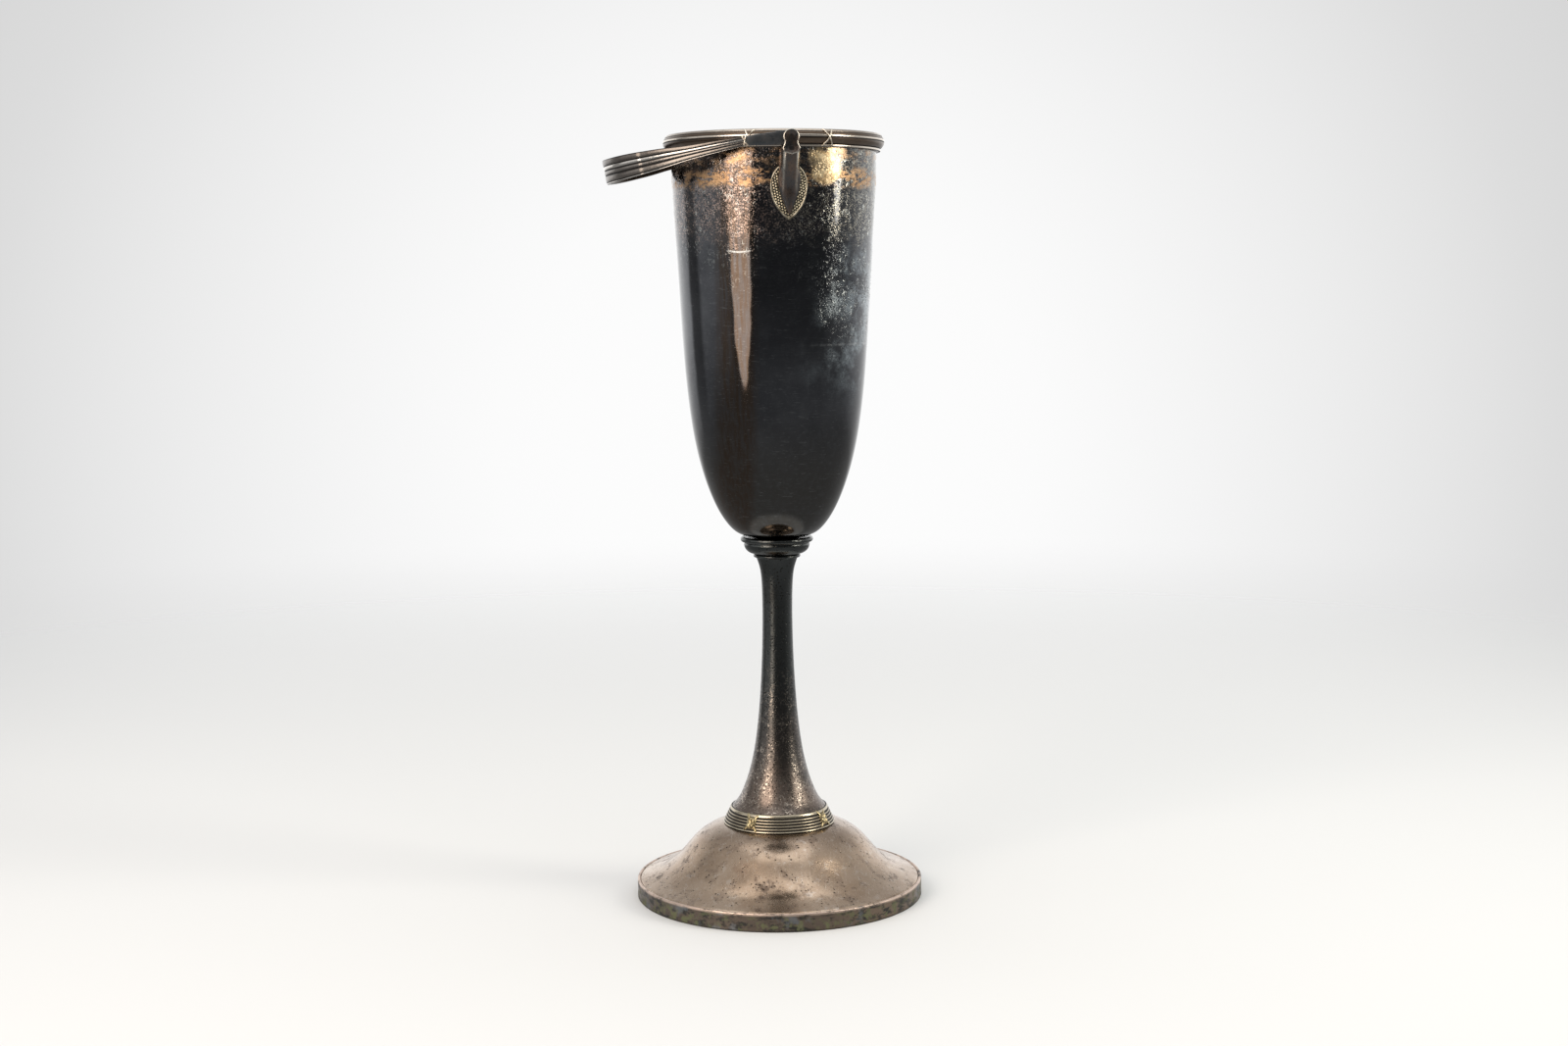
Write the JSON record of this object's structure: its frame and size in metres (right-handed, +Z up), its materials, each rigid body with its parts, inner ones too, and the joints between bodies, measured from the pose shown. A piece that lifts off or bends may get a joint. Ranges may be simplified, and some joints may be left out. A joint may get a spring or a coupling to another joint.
{
  "type": "stemmed wine cooler cup",
  "caption": "Tall plated cup on a stem and domed foot, used to hold a bottle in ice, with a reeded rim and a hinged bail handle.",
  "frame": {"origin": "middle of the foot's underside, on the surface it stands on", "axes": "+Z up along the cup's axis; the hinge axis of the bail runs along Y; the bail lies towards -X"},
  "size_m": [0.3184, 0.2928, 0.774],
  "materials": {
    "tarnished_bowl": "dark mirror-like tarnish on silver plate",
    "aged_silver": "worn silver plate, brown in the grooves",
    "ribbon_bright": "rubbed bright",
    "raw_brass": "unplated",
    "stem_bronze": "olive-black tarnish",
    "foot_reeds": "pale worn plate, black grooves",
    "ribbon_gold": "rubbed to brass",
    "worn_dome": "satin, silver worn to copper",
    "edge_verdigris": "dull, with verdigris",
    "plain_steel": "plain",
    "escutcheon_gilt": "stippled ground, bright bead",
    "arm_dark": "dark, bright at the edges",
    "bail_silver": "reeded, ridges rubbed bright",
    "bail_dark": "plain, dark"
  },
  "bodies": {
    "cup": {"bowl_shell": "tarnished_bowl", "rim_moulding": "aged_silver", "rim_ribbon_ties": "ribbon_bright", "bowl_boss": "raw_brass", "knop_collar": "stem_bronze", "knop_lower_ring": "stem_bronze", "stem_tube": "stem_bronze", "foot_reed_ring": "foot_reeds", "foot_ribbon_ties": "ribbon_gold", "foot_dome": "worn_dome", "foot_edge_band": "edge_verdigris", "clamp_plate": "plain_steel", "tie_washer": "plain_steel", "tie_nut": "plain_steel", "tie_rod": "plain_steel", "front_escutcheon": "escutcheon_gilt", "rear_escutcheon": "escutcheon_gilt", "front_hinge_arm": "arm_dark", "rear_hinge_arm": "arm_dark", "front_pivot_pin": "arm_dark", "rear_pivot_pin": "arm_dark", "front_pivot_washer": "raw_brass", "rear_pivot_washer": "raw_brass"},
    "bail": {"bail_strap": "bail_silver", "bail_end_front": "bail_dark", "bail_end_rear": "bail_dark", "bail_tie_front": "ribbon_bright", "bail_tie_rear": "ribbon_bright"}
  },
  "joints": [
    {"name": "bail_hinge", "type": "hinge", "parent": "cup", "child": "bail", "pos_m": [0, 0, 0.7654], "axis": [0, 1, 0], "range_deg": [0, 188]}
  ]
}
